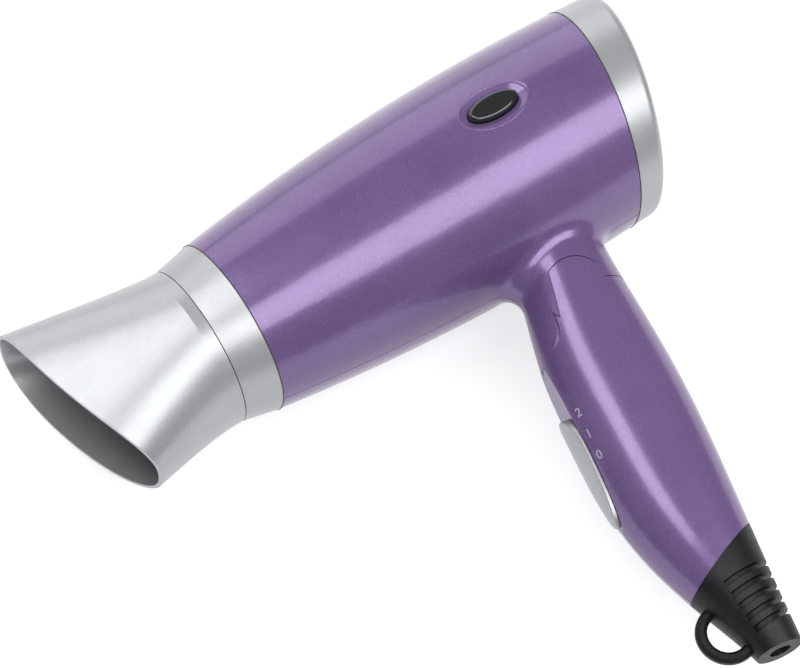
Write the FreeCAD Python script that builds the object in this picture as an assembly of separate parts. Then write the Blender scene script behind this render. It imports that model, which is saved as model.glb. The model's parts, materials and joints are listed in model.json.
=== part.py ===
"""Travel hair dryer with a folding handle and a concentrator nozzle.

Millimetres. The dryer lies on its side: +X runs from the nozzle to the rear grille,
+Y from the handle to the top of the barrel, +Z out of the side that carries the button.
Pieces of the barrel are drawn on its axis with the front seam at x = 0.  Pieces of the
handle are drawn upright about the hinge axis and then leaned forward by HANDLE_LEAN.
"""
import FreeCAD, Part
import math
import os

V = FreeCAD.Vector
Z_AXIS = V(0, 0, 1)
X_AXIS = V(1, 0, 0)

# ---- barrel -----------------------------------------------------------------------
BARREL_LENGTH = 138.0        # front seam to rear seam, on the axis
FRONT_RADIUS = 29.2          # outside, at the front seam
MIDDLE_RADIUS = 36.1         # outside, halfway along
REAR_RADIUS = 36.6           # outside, at the rear seam
WALL = 2.0                   # moulded wall of the barrel
REAR_SEAM_SLANT = 10.4       # degrees, top further back
SEAM_GROOVE = 0.3            # shut line between mouldings
SEAM_GROOVE_DEPTH = 0.5

# ---- front ring, outlet grille and nozzle ------------------------------------------
RING_LENGTH = 12.0           # visible band ahead of the front seam
RING_RADIUS = 26.6           # outside, where the nozzle starts
SOCKET_WALL = 2.3            # of the nozzle, round the spigot
SOCKET_GAP = 0.3
SPIGOT_RADIUS = RING_RADIUS - SOCKET_WALL - SOCKET_GAP
SPIGOT_LENGTH = 11.0
SPIGOT_WALL = 1.6
OUTLET_GRILLE_THICKNESS = 2.0
NOZZLE_LENGTH = 42.5         # from the ring to the middle of the mouth's tips
NOZZLE_WALL = 1.3
MOUTH_HALF_WIDTH = 34.2
MOUTH_HALF_THICKNESS = 19.7
MOUTH_SLANT = 15.0           # degrees, upper tip further forward
MOUTH_BULGE = 4.0            # middle of the lips ahead of the tips
NOZZLE_FLARE = 1.35          # power of its widening, above 1 for hollow sides
NOZZLE_GAP = 0.3             # from the ring, so that it turns freely

# ---- rear ring and intake grille ----------------------------------------------------
REAR_RING_DEPTH = 13.5       # on the axis, seam to rear face
REAR_FACE_SLANT = 16.0
REAR_RING_WALL = 4.0
REAR_EDGE_RADIUS = 3.2
GRILLE_RECESS = 3.0
GRILLE_THICKNESS = 2.2
GRILLE_SLOTS = 4
GRILLE_SPOKES = 4

# ---- heater, motor and fan ------------------------------------------------------------
HEAT_TUBE_ROOM = 1.4         # from the barrel's wall at the front seam
HEAT_TUBE_RADIUS = FRONT_RADIUS - WALL - HEAT_TUBE_ROOM
HEAT_TUBE_WALL = 0.6
HEATER_TO_MOTOR = 10.0
MICA_THICKNESS = 0.8
COIL_ROOM = 4.8              # from the coil's inside to the heat tube
COIL_REACH = HEAT_TUBE_RADIUS - HEAT_TUBE_WALL - COIL_ROOM
COIL_TURNS = 9
WIRE = 0.9
MOTOR_RADIUS = 13.0
MOTOR_LENGTH = 24.0
SHAFT_RADIUS = 1.15
FAN_INSET = 8.1              # blade tips inside the barrel's outside
FAN_RADIUS = MIDDLE_RADIUS - FAN_INSET
FAN_DEPTH = 13.0
FAN_ROOM = 7.0               # between the motor and the fan
FAN_BLADES = 7
FAN_TIP_GAP = 0.8
DUCT_WALL = 1.6
DUCT_LIP = 3.0               # duct behind the fan
DUCT_SETBACK = 15.0          # its end ahead of the rear seam
DUCT_END = BARREL_LENGTH - DUCT_SETBACK
FAN_START = DUCT_END - DUCT_LIP - FAN_DEPTH
MOTOR_BACK = FAN_START - FAN_ROOM
MOTOR_FRONT = MOTOR_BACK - MOTOR_LENGTH
HEAT_TUBE_END = MOTOR_FRONT - HEATER_TO_MOTOR
STATOR_VANES = 6

# ---- cool-shot button ---------------------------------------------------------------
BUTTON_SETBACK = 37.8        # ahead of the rear seam
BUTTON_X = BARREL_LENGTH - BUTTON_SETBACK
BUTTON_ANGLE = 8.2           # degrees round the barrel from +Z towards +Y
BUTTON_LENGTH = 18.0
BUTTON_WIDTH = 8.6
BUTTON_TRAVEL = 1.6
BUTTON_PROUD = 0.7
BUTTON_GAP = 0.3
DISH_MARGIN = 4.2
DISH_DEPTH = 1.5

# ---- hinge and handle -----------------------------------------------------------------
HINGE_SETBACK = 44.0         # ahead of the rear seam
HINGE_DROP = 16.9            # below the barrel
PIVOT = V(BARREL_LENGTH - HINGE_SETBACK, -(MIDDLE_RADIUS + HINGE_DROP), 0)
HANDLE_LEAN = 11.0
FOLD_ANGLE = 64.0
EAR_RADIUS = 11.0
EAR_FACE = 12.5              # inner face of the handle's ears
EAR_GAP = 0.35               # round the ears
SIDE_GAP = 0.2               # between ears and knuckle
KNUCKLE_REACH = 25.5         # knuckle's nose from the hinge axis
KNUCKLE_EDGE = 11.2          # knuckle's reach between the ears
LENS_SIDE = 10.8             # half width of its nose where it leaves the ears
KNUCKLE_GAP = 0.3
LENS_ROOM = 0.5              # more room beside the nose, so that the folded handle clears the neck
REAR_SHUT = 1.5              # height of the rear shut line over the hinge axis
CHEEK_RADIUS = 9.0
CHEEK_THICKNESS = 2.2
TRUNNION_RADIUS = 5.0
TRUNNION_CLEARANCE = 0.05
PIN_RADIUS = 3.0
HANDLE_WALL = 2.2
NECK_FILLET = 7.0
HANDLE_END = -127.5          # foot of the strain relief, from the hinge axis
# the grip's sections: height, middle, half width, half thickness
GRIP = [
    (32.0, 1.5, 17.0, 14.4),
    (6.0, 1.2, 16.5, 14.3),
    (-14.0, 0.0, 19.0, 15.2),
    (-45.0, -0.6, 20.3, 16.2),
    (-75.0, -0.4, 18.7, 15.2),
    (HANDLE_END + 23.5, 3.4, 13.0, 12.3),
    (HANDLE_END, 7.9, 7.5, 7.4),
]

# ---- power switch -----------------------------------------------------------------------
SLIDER_STEP = 7.6            # one switch position
SLIDER_TOP = -34.5           # top of the pad, switched off
SLIDER_LENGTH = 38.5
SLIDER_HALF_WIDTH = 7.4
SLIDER_PROUD = 1.0
SLIDER_GAP = 0.35
TRACK_FLOOR = -19.1
TRACK_ABOVE = 9.3            # flat of the handle over the slider, pushed up
TRACK_BELOW = 7.0
LAND = -16.9                 # inner face of the front wall behind the switch
LAND_ABOVE = 6.5
LAND_BELOW = 5.0
STEM_HALF_WIDTH = 2.4
STEM_LENGTH = 5.5
SWITCH_LENGTH = 32.0
SWITCH_DEPTH = 10.0
SWITCH_HALF_WIDTH = 6.0

# ---- strain relief and hanging loop ------------------------------------------------------
RELIEF_CUT_HEIGHT = HANDLE_END + 31.5
RELIEF_CUT_SLANT = 29.5
RELIEF_PLUG = 7.0
CORD_RADIUS = 3.4
CORD_SHIFT = 0.1733          # the cord behind the middle of the foot
CLAMP_HALF = 4.9
CLAMP_HEIGHT = 6.0
CLAMP_GAP = 0.1314           # over the relief's plug
GROOVES = 5
LAST_GROOVE = 7.8649          # over the middle of the foot
GROOVE_PITCH = 3.9
GROOVE_WIDTH = 2.0
LOOP_RADIUS = 7.9
LOOP_THICKNESS = 3.6
LOOP_CENTRE = V(-4.3, HANDLE_END + 11.0, 0)

# ---- screws -------------------------------------------------------------------------------
SCREW_RADIUS = 1.5
SCREW_HEAD_RADIUS = 2.7
SCREW_HEAD_HEIGHT = 2.0
SCREW_REACH = 8.0            # either side of the seam
BOSS_RADIUS = 3.4
HANDLE_SCREWS = [(9.5, -34.0), (8.5, HANDLE_END + 47.5)]
NECK_SCREW = (2.0, 15.5)

BIG = 400.0


# ======================================================================================
# helpers
# ======================================================================================
def box(x0, x1, y0, y1, z0, z1):
    """Block between two corners."""
    return Part.makeBox(x1 - x0, y1 - y0, z1 - z0, V(x0, y0, z0))


def rod(radius, base, direction, length):
    """Cylinder from a base point along a direction."""
    return Part.makeCylinder(radius, length, base, direction)


def turned(points):
    """Solid turned about the X axis from (x, radius) corners."""
    corners = [V(x, r, 0) for x, r in points]
    face = Part.Face(Part.makePolygon(corners + corners[:1]))
    return face.revolve(V(0, 0, 0), X_AXIS, 360)


def tube(r_out, r_in, x0, x1):
    """Ring or tube on the barrel's axis."""
    return turned([(x0, r_in), (x0, r_out), (x1, r_out), (x1, r_in)])


def oval(length, width, x, y, z):
    """Closed oval wire in a plane of constant z."""
    centre = V(x, y, z)
    curve = Part.Ellipse(centre + V(length / 2, 0, 0), centre + V(0, width / 2, 0), centre)
    return Part.Wire([curve.toShape()])


def oval_block(length, width, x, y, z0, z1, top_length=None, top_width=None):
    """Oval column, straight or tapering towards its top."""
    ends = [oval(length, width, x, y, z0), oval(top_length or length, top_width or width, x, y, z1)]
    return Part.makeLoft(ends, True, True)


def half_space(point, normal):
    """Large block that fills the side of a plane its normal points to."""
    block = Part.makeBox(BIG, BIG, BIG, V(-BIG / 2, -BIG / 2, 0))
    block.Placement = FreeCAD.Placement(point, FreeCAD.Rotation(Z_AXIS, normal))
    return block


def joined(shapes):
    """One clean solid from touching or crossing shapes."""
    first, rest = shapes[0], list(shapes[1:])
    return first.fuse(rest).removeSplitter() if rest else first


def mirrored(shape):
    """Copy on the other side of the seam plane."""
    return shape.mirror(V(0, 0, 0), Z_AXIS)


def seated_point(x, y):
    """Place of a point of the upright handle once it is leaned forward."""
    lean = math.radians(HANDLE_LEAN)
    return PIVOT + V(x * math.cos(lean) + y * math.sin(lean), y * math.cos(lean) - x * math.sin(lean), 0)


def seated(shape):
    """Handle piece, drawn upright about the hinge axis, put in its open position."""
    copy = shape.copy()
    copy.rotate(V(0, 0, 0), Z_AXIS, -HANDLE_LEAN)
    copy.translate(PIVOT)
    return copy


def seam_groove(skin, core):
    """Shallow groove that the two mouldings show along the seam plane."""
    band = box(-BIG, BIG, -BIG, BIG, -SEAM_GROOVE / 2, SEAM_GROOVE / 2)
    return skin.cut(core).common(band)


# ======================================================================================
# barrel
# ======================================================================================
FRONT_END = -RING_LENGTH
REAR_FACE = BARREL_LENGTH + REAR_RING_DEPTH
TAIL = REAR_FACE + 14.0      # the barrel's arc is drawn on to here and cut back

SIDE_POINTS = [V(0, FRONT_RADIUS, 0), V(BARREL_LENGTH / 2, MIDDLE_RADIUS, 0),
               V(BARREL_LENGTH, REAR_RADIUS, 0)]
SIDE_ARC = Part.Arc(*SIDE_POINTS).toShape().Curve


def radius_at(x, inset=0.0):
    """Outer radius of the barrel at a station behind the front seam."""
    reach = SIDE_ARC.Radius - inset
    return SIDE_ARC.Center.y + math.sqrt(reach ** 2 - (x - SIDE_ARC.Center.x) ** 2)


def barrel(inset=0.0, start=0.0):
    """Solid barrel behind the front seam, drawn through round sections on one long arc."""
    spans = 4
    rings = []
    for index in range(spans + 1):
        x = start + (TAIL - start) * index / spans
        rings.append(Part.Wire([Part.makeCircle(radius_at(x, inset), V(x, 0, 0), X_AXIS)]))
    return Part.makeLoft(rings, True, False)


def slanted(x, slant):
    """Point and normal of a plane across the barrel with its top further back."""
    tilt = math.radians(slant)
    return V(x, 0, 0), V(math.cos(tilt), -math.sin(tilt), 0)


# ======================================================================================
# grip: one skin for the neck, the handle and the strain relief
# ======================================================================================
def grip(inset=0.0, swell=0.0):
    """Solid grip, upright about the hinge axis, smaller or larger all round."""
    rings = []
    for height, middle, width, thickness in GRIP:
        centre = V(middle, height, 0)
        wide = V(width - inset + swell, 0, 0)
        deep = V(0, 0, thickness - inset + swell)
        rings.append(Part.Wire([Part.Ellipse(centre + wide, centre + deep, centre).toShape()]))
    return Part.makeLoft(rings, True, False)


def hinge_drum(radius, half):
    """Cylinder about the hinge axis, half as long either side of the seam plane."""
    return rod(radius, V(0, 0, -half), Z_AXIS, 2 * half)


def knuckle(gap=0.0, side_gap=0.0, room=0.0):
    """Drum between the ears with a lens round it: the nose of the neck that slides inside the handle."""
    edge, side = KNUCKLE_EDGE + gap, LENS_SIDE + gap + room
    arc = Part.Arc(V(edge, 0, side), V(KNUCKLE_REACH + gap, 0, 0), V(edge, 0, -side)).toShape()
    lines = Part.makePolygon([V(edge, 0, -side), V(0, 0, -side), V(0, 0, side), V(edge, 0, side)])
    face = Part.Face(Part.Wire([arc] + lines.Edges))
    lens = face.revolve(V(0, 0, 0), Z_AXIS, 360)
    return lens.fuse(hinge_drum(edge, EAR_FACE - SIDE_GAP + side_gap))


def beyond_ears(z, radius, centre=V(0, 0, 0)):
    """Pair of discs outside the two planes z and -z."""
    disc = rod(radius, V(centre.x, centre.y, z), Z_AXIS, BIG)
    return disc.fuse(mirrored(disc))


GRIP_SKIN = grip()
GRIP_CORE = grip(HANDLE_WALL)


# ======================================================================================
# the moulded halves of the barrel with the neck
# ======================================================================================
def neck_fillet_edges(solid):
    """Edges where the neck meets the barrel."""
    found = []
    for edge in solid.Edges:
        middle = edge.valueAt((edge.FirstParameter + edge.LastParameter) / 2)
        reach = math.hypot(middle.y, middle.z)
        on_barrel = abs(reach - radius_at(middle.x)) < 0.3
        if 0 < middle.x < BARREL_LENGTH and on_barrel and middle.y < 0:
            found.append(edge)
    return found


def housing_skin():
    """Solid barrel with the neck blended into it, cut off at the rear seam."""
    neck_room = box(-BIG, BIG, REAR_SHUT, 30.0, -BIG, BIG)
    skin = joined([barrel(), seated(GRIP_SKIN.common(neck_room))])
    skin = skin.makeFillet(NECK_FILLET, neck_fillet_edges(skin))
    return skin.cut(half_space(*slanted(BARREL_LENGTH, REAR_SEAM_SLANT)))


def knuckle_side(room):
    """One side of the knuckle, upright: its nose in the grip's skin, and the cheek round the hinge."""
    front_room = box(-BIG, -3.0, -BIG, REAR_SHUT, -BIG, BIG)
    nose = GRIP_SKIN.common(room).cut(GRIP_CORE).common(knuckle()).common(front_room)
    nose = nose.cut(seam_groove(GRIP_SKIN, grip(SEAM_GROOVE_DEPTH)))
    outer = EAR_FACE - SIDE_GAP
    inner = outer - CHEEK_THICKNESS
    disc = rod(CHEEK_RADIUS, V(0, 0, inner), Z_AXIS, CHEEK_THICKNESS)
    cheek = disc.fuse(box(-CHEEK_RADIUS, CHEEK_RADIUS, 0, 14.0, inner, outer)).common(GRIP_SKIN)
    return [nose, cheek.fuse(mirrored(cheek)).common(room)]


def ear_room():
    """Room in the neck for the handle's ears, and for its sides when it is folded."""
    face = EAR_FACE - SIDE_GAP
    strip = box(-(EAR_RADIUS + EAR_GAP), 0, -30, 0, face, 40)
    strip.rotate(V(0, 0, 0), Z_AXIS, -FOLD_ANGLE)
    return [beyond_ears(face, EAR_RADIUS + EAR_GAP), strip, mirrored(strip)]


def housing_half(skin, side):
    """One moulding of the barrel: half the shell with the neck, its knuckle side and screw boss."""
    room = box(-BIG, BIG, -BIG, BIG, 0, BIG) if side > 0 else box(-BIG, BIG, -BIG, BIG, -BIG, 0)
    neck_core = seated(GRIP_CORE.common(box(-BIG, BIG, -BIG, 24.0, -BIG, BIG)))
    groove_core = barrel(SEAM_GROOVE_DEPTH, -1.0).fuse(seated(grip(SEAM_GROOVE_DEPTH)))
    shell = skin.common(room)
    shell = shell.cut(barrel(WALL, -1.0)).cut(neck_core)
    shell = shell.cut(seam_groove(skin, groove_core))
    shell = shell.cut([seated(piece) for piece in ear_room()])
    x, y = NECK_SCREW
    boss = screw_boss(x, y, side).common(GRIP_SKIN)
    pieces = [shell] + [seated(piece) for piece in knuckle_side(room) + [boss]]
    if side > 0:
        pieces.append(dish_backing())
    bore = hinge_drum(TRUNNION_RADIUS + TRUNNION_CLEARANCE, EAR_FACE)
    half = joined(pieces).cut([seated(bore), seated(screw_room(x, y, side))])
    return half.cut(turned_to_button(dish_room())) if side > 0 else half


# ======================================================================================
# front ring, outlet grille and nozzle
# ======================================================================================
def front_ring():
    """Silver band with a spigot for the nozzle and a lip inside the barrel."""
    lip = radius_at(0, WALL)
    tip = FRONT_END - SPIGOT_LENGTH
    inside = SPIGOT_RADIUS - SPIGOT_WALL
    lip_end = 5.0
    lip_far = radius_at(lip_end, WALL)
    return turned([(tip, inside), (tip, SPIGOT_RADIUS - 0.6), (tip + 1.5, SPIGOT_RADIUS),
                   (FRONT_END, SPIGOT_RADIUS), (FRONT_END, RING_RADIUS), (0, FRONT_RADIUS), (0, lip),
                   (lip_end, lip_far), (lip_end, HEAT_TUBE_RADIUS), (-1.0, HEAT_TUBE_RADIUS), (-1.0, inside)])


def spoked_disc(radius, x0, thickness, hub, slots, spokes, spoke_width, rib):
    """Round grille on the X axis: concentric ribs held by spokes round a hub."""
    disc = rod(radius, V(x0, 0, 0), X_AXIS, thickness)
    rim = radius - rib
    pitch = (rim - hub + rib) / slots
    bars = [box(x0 - 1, x0 + thickness + 1, -spoke_width / 2, spoke_width / 2, 0, radius)
            for _ in range(spokes)]
    for index, bar in enumerate(bars):
        bar.rotate(V(0, 0, 0), X_AXIS, 360.0 * index / spokes)
    slot_rings = []
    for index in range(slots):
        inner = hub + index * pitch
        slot_rings.append(tube(inner + pitch - rib, inner, x0 - 1, x0 + thickness + 1))
    cutters = [ring.cut(bars) for ring in slot_rings]
    return disc.cut(cutters)


def outlet_grille():
    """Grille that keeps fingers off the heater, just behind the spigot."""
    inside = SPIGOT_RADIUS - SPIGOT_WALL
    return spoked_disc(inside, FRONT_END, OUTLET_GRILLE_THICKNESS, 4.0, 4, GRILLE_SPOKES, 1.6, 1.6)


NOZZLE_START = FRONT_END - 4.0   # the round collar ends here
MOUTH_X = FRONT_END - NOZZLE_LENGTH
MOUTH_RISE = 1.5                 # middle of the mouth over the barrel's axis


def nozzle_section(inset, share):
    """Outline of the nozzle at a share of its length: round at 0, a slanted lens at 1."""
    half_width = RING_RADIUS + (MOUTH_HALF_WIDTH - RING_RADIUS) * share ** NOZZLE_FLARE - inset
    half_deep = RING_RADIUS + (MOUTH_HALF_THICKNESS - RING_RADIUS) * share - inset
    slant = math.radians(MOUTH_SLANT) * share
    power = 2.0 + 0.5 * share
    middle = V(NOZZLE_START + (MOUTH_X - NOZZLE_START) * share, MOUTH_RISE * share, 0)
    points = []
    for step in range(20):
        turn = 2 * math.pi * step / 20
        across = math.copysign(abs(math.cos(turn)) ** (2 / power), math.cos(turn)) * half_width
        deep = math.copysign(abs(math.sin(turn)) ** (2 / power), math.sin(turn)) * half_deep
        points.append(middle + V(-across * math.sin(slant), across * math.cos(slant), deep))
    curve = Part.BSplineCurve()
    curve.interpolate(Points=points, PeriodicFlag=True)
    return Part.Wire([curve.toShape()])


def mouth_cutter():
    """Everything ahead of the mouth's curved lips."""
    slant = math.radians(MOUTH_SLANT)
    middle = V(MOUTH_X, MOUTH_RISE, 0)
    reach = V(-math.sin(slant), math.cos(slant), 0) * MOUTH_HALF_WIDTH
    tips = [middle + reach, middle - reach]
    lips = Part.Arc(tips[0], middle + V(-MOUTH_BULGE, 0, 0), tips[1]).toShape()
    ahead = V(-BIG / 4, 0, 0)
    rest = Part.makePolygon([tips[1], tips[1] - reach, tips[1] - reach + ahead,
                             tips[0] + reach + ahead, tips[0] + reach, tips[0]])
    face = Part.Face(Part.Wire([lips] + rest.Edges))
    face.translate(V(0, 0, -BIG / 4))
    return face.extrude(V(0, 0, BIG / 2))


def nozzle():
    """Concentrator: a round socket that flattens and widens into a slanted mouth."""
    shares = (0, 0.35, 0.7, 1.0, 1.25)
    skin = Part.makeLoft([nozzle_section(0, share) for share in shares], True, False)
    bore = Part.makeLoft([nozzle_section(NOZZLE_WALL, share) for share in shares], True, False)
    collar = Part.Face(nozzle_section(0, 0)).extrude(V(FRONT_END - NOZZLE_GAP - NOZZLE_START, 0, 0))
    socket_end = FRONT_END - SPIGOT_LENGTH - 1.5
    hollow = bore.common(box(-BIG, socket_end, -BIG, BIG, -BIG, BIG))
    socket = rod(SPIGOT_RADIUS + SOCKET_GAP, V(socket_end - 1, 0, 0), X_AXIS, FRONT_END - socket_end + 2)
    groove = tube(CLIP_OUTER + CLIP_GAP, SPIGOT_RADIUS, CLIP_X - CLIP_GAP, CLIP_X + CLIP_WIDTH + CLIP_GAP)
    return joined([collar, skin]).cut([hollow, socket, groove, mouth_cutter()])


CLIP_WIDTH = 1.6
CLIP_X = FRONT_END - 7.0
CLIP_INNER = SPIGOT_RADIUS + 0.05
CLIP_OUTER = SPIGOT_RADIUS + 1.3
CLIP_GAP = 0.08


def nozzle_clip():
    """Split spring ring in the nozzle's groove; it grips the spigot."""
    ring = tube(CLIP_OUTER, CLIP_INNER, CLIP_X, CLIP_X + CLIP_WIDTH)
    return ring.cut(box(CLIP_X - 1, CLIP_X + CLIP_WIDTH + 1, 0, BIG, -2.5, 2.5))


# ======================================================================================
# rear ring and intake grille
# ======================================================================================
def on_rear_face(shape):
    """Piece drawn on the X axis with its outside at x = 0, tilted into the rear face."""
    copy = shape.copy()
    copy.rotate(V(0, 0, 0), Z_AXIS, -REAR_FACE_SLANT)
    copy.translate(V(REAR_FACE, 0, 0))
    return copy


GRILLE_RADIUS = REAR_RADIUS - REAR_RING_WALL - 1.2


def rear_ring():
    """Silver rear band with a rounded outer edge and a seat for the intake grille."""
    band = barrel().cut(half_space(*slanted(REAR_FACE, REAR_FACE_SLANT)))
    band = band.common(half_space(*slanted(BARREL_LENGTH, REAR_SEAM_SLANT)))
    rims = [e for e in band.Edges if abs(e.CenterOfMass.x - REAR_FACE) < 2.0 and e.Length > 100]
    band = band.makeFillet(REAR_EDGE_RADIUS, rims)
    seat = GRILLE_RECESS + GRILLE_THICKNESS
    mouth = on_rear_face(rod(GRILLE_RADIUS, V(-seat, 0, 0), X_AXIS, BIG / 4))
    throat = on_rear_face(rod(GRILLE_RADIUS - 1.8, V(-60, 0, 0), X_AXIS, BIG / 4))
    return band.cut([mouth, throat])


def intake_grille():
    """Round grille with concentric slots, seated in the rear ring."""
    hub = 5.0
    grille = spoked_disc(GRILLE_RADIUS, -GRILLE_RECESS - GRILLE_THICKNESS, GRILLE_THICKNESS, hub,
                         GRILLE_SLOTS, GRILLE_SPOKES, 2.0, 2.2)
    return on_rear_face(grille)


# ======================================================================================
# heater
# ======================================================================================
HEATER_START = 3.0


def heat_tube():
    """Thin heat-proof sleeve that lines the barrel round the heater."""
    r = HEAT_TUBE_RADIUS
    return tube(r, r - HEAT_TUBE_WALL, -1.0, HEAT_TUBE_END)


def mica_cross():
    """Two crossed insulating boards that carry the heating coil."""
    reach = HEAT_TUBE_RADIUS - HEAT_TUBE_WALL
    half = MICA_THICKNESS / 2
    flat = COIL_REACH - half
    x1 = HEAT_TUBE_END - 3.0
    boards = [box(HEATER_START, x1, -flat, flat, -half, half),
              box(HEATER_START, x1, -half, half, -flat, flat)]
    foot = 4.0
    for x in (HEATER_START, x1 - foot):
        round_foot = rod(reach, V(x, 0, 0), X_AXIS, foot)
        boards.append(box(x, x + foot, -reach, reach, -half, half).common(round_foot))
    return joined(boards)


def heater_coil():
    """Resistance wire wound round the boards, turn beside turn."""
    start = HEATER_START + 7.0
    pitch = (HEAT_TUBE_END - 3.0 - 7.0 - start) / (COIL_TURNS - 1)
    turns = []
    for index in range(COIL_TURNS):
        x = start + index * pitch
        outer, inner = COIL_REACH + WIRE * 1.5, COIL_REACH
        frames = []
        for reach in (outer, inner):
            corners = [V(x, reach, 0), V(x, 0, reach), V(x, -reach, 0), V(x, 0, -reach), V(x, reach, 0)]
            frames.append(Part.Face(Part.makePolygon(corners)).extrude(V(WIRE, 0, 0)))
        turns.append(frames[0].cut(frames[1]))
    return Part.makeCompound(turns)


def thermal_cutout():
    """Bimetal switch on the boards: a base, a contact arm and a rivet."""
    half = MICA_THICKNESS / 2
    base = box(HEATER_START + 1.0, HEATER_START + 6.2, 4.0, 14.0, half, half + 1.6)
    post = rod(1.2, V(HEATER_START + 3.6, 5.6, half + 1.6), Z_AXIS, 1.2)
    arm = box(HEATER_START + 2.2, HEATER_START + 5.0, 4.4, 13.4, half + 2.8, half + 3.4)
    contact = rod(0.9, V(HEATER_START + 3.6, 12.2, half + 1.6), Z_AXIS, 1.2)
    return joined([base, post, arm, contact])


# ======================================================================================
# motor, fan and their duct
# ======================================================================================
DUCT_RADIUS = FAN_RADIUS + FAN_TIP_GAP


def fan_duct():
    """Duct round the fan with a cup that holds the motor on curved vanes."""
    outer = DUCT_RADIUS + DUCT_WALL
    cup_wall = 1.5
    cup = tube(MOTOR_RADIUS + cup_wall, MOTOR_RADIUS, MOTOR_FRONT + 4.0, MOTOR_BACK)
    ring = tube(outer, DUCT_RADIUS, MOTOR_FRONT + 4.0, DUCT_END)
    vane = box(MOTOR_FRONT + 5.0, MOTOR_BACK - 1.0, -0.6, 0.6, MOTOR_RADIUS + 0.7, DUCT_RADIUS + 0.8)
    vane.rotate(V(MOTOR_FRONT + MOTOR_LENGTH / 2, 0, 0), Z_AXIS, 12)
    vanes = []
    for index in range(STATOR_VANES):
        copy = vane.copy()
        copy.rotate(V(0, 0, 0), X_AXIS, 360.0 * (index + 0.5) / STATOR_VANES)
        vanes.append(copy)
    reach = min(radius_at(DUCT_END - 3.0, WALL), radius_at(DUCT_END, WALL)) - 0.02
    seat_front = tube(reach, outer - 0.1, DUCT_END - 3.0, DUCT_END)
    motor_room = rod(MOTOR_RADIUS, V(MOTOR_FRONT, 0, 0), X_AXIS, MOTOR_LENGTH)
    return joined([cup, ring] + vanes + [seat_front]).cut(motor_room)


def motor_can():
    """Steel can with its front bearing nose and two flats."""
    can = rod(MOTOR_RADIUS, V(MOTOR_FRONT, 0, 0), X_AXIS, MOTOR_LENGTH - 3.0)
    nose = rod(3.0, V(MOTOR_FRONT - 2.0, 0, 0), X_AXIS, 2.0)
    room = rod(MOTOR_RADIUS - 1.0, V(MOTOR_FRONT + 1.0, 0, 0), X_AXIS, MOTOR_LENGTH)
    return joined([can, nose]).cut(room)


def motor_end_cap():
    """Plastic end cap of the motor with the rear bearing and the two terminals."""
    back = MOTOR_BACK - 3.0
    cap = rod(MOTOR_RADIUS, V(back, 0, 0), X_AXIS, 3.0)
    boss = rod(3.2, V(MOTOR_BACK, 0, 0), X_AXIS, 1.5)
    bore = rod(SHAFT_RADIUS + 0.03, V(back - 1, 0, 0), X_AXIS, BIG / 4)
    return joined([cap, boss]).cut(bore)


def rotor():
    """Shaft with the wound armature inside the can."""
    shaft = rod(SHAFT_RADIUS, V(MOTOR_FRONT + 1.2, 0, 0), X_AXIS, FAN_START + FAN_DEPTH - MOTOR_FRONT - 1.2)
    core = rod(MOTOR_RADIUS - 3.2, V(MOTOR_FRONT + 5.0, 0, 0), X_AXIS, MOTOR_LENGTH - 13.0)
    slots = []
    for index in range(3):
        slot = box(0, BIG / 2, 4.5, BIG / 8, -1.2, 1.2)
        slot.rotate(V(0, 0, 0), X_AXIS, 120.0 * index)
        slots.append(slot)
    commutator = rod(2.6, V(MOTOR_BACK - 7.0, 0, 0), X_AXIS, 3.4)
    return joined([core.cut(slots), shaft, commutator])


def fan():
    """Axial fan: a cupped hub with twisted blades."""
    hub_radius = MOTOR_RADIUS
    x0, x1 = FAN_START, FAN_START + FAN_DEPTH
    hub = turned([(x0, SHAFT_RADIUS), (x0, hub_radius), (x1 - 5, hub_radius), (x1 - 1, hub_radius - 5),
                  (x1, hub_radius - 8), (x1, SHAFT_RADIUS)])
    hub = hub.cut(tube(hub_radius - 1.6, SHAFT_RADIUS + 2.2, x0 - 1, x1 - 6))
    middle = (x0 + x1) / 2
    blades = []
    middle_radius = (hub_radius + FAN_RADIUS) / 2
    for radius, pitch in ((hub_radius - 0.8, 38.0), (middle_radius, 50.0), (FAN_RADIUS, 60.0)):
        half = (FAN_DEPTH / 2 - 0.8) / math.cos(math.radians(pitch))
        corners = [(-half, -0.6), (half, -0.6), (half, 0.6), (-half, 0.6)]
        ring = [V(middle + a, b, radius) for a, b in corners]
        wire = Part.makePolygon(ring + ring[:1])
        wire.rotate(V(middle, 0, 0), Z_AXIS, pitch)
        blades.append(wire)
    blade = Part.makeLoft(blades, True, False)
    blade = blade.common(rod(FAN_RADIUS, V(x0, 0, 0), X_AXIS, FAN_DEPTH))
    parts = [hub]
    for index in range(FAN_BLADES):
        copy = blade.copy()
        copy.rotate(V(0, 0, 0), X_AXIS, 360.0 * index / FAN_BLADES)
        parts.append(copy)
    return joined(parts)


# ======================================================================================
# cool-shot button, its spring and its switch
# ======================================================================================
SKIN_AT_BUTTON = radius_at(BUTTON_X)
FLANGE = 1.0
DISH_WALL = 1.2              # left under the dish
FLANGE_TOP = SKIN_AT_BUTTON - DISH_DEPTH - DISH_WALL - 0.1


def turned_to_button(shape):
    """Piece drawn above the axis at +Z, turned round the barrel to the button's place."""
    copy = shape.copy()
    copy.rotate(V(0, 0, 0), X_AXIS, -BUTTON_ANGLE)
    return copy


def dish_room():
    """Dish in the barrel round the button with the hole that the button works in."""
    floor = SKIN_AT_BUTTON - DISH_DEPTH
    hole_length, hole_width = BUTTON_LENGTH + 2 * BUTTON_GAP, BUTTON_WIDTH + 2 * BUTTON_GAP
    dish = oval_block(hole_length, hole_width, BUTTON_X, 0, floor, SKIN_AT_BUTTON + 0.4,
                      hole_length + 2 * DISH_MARGIN, hole_width + 2 * DISH_MARGIN)
    hole = oval_block(hole_length, hole_width, BUTTON_X, 0, floor - 6, floor + 1)
    return dish.fuse(hole)


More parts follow.
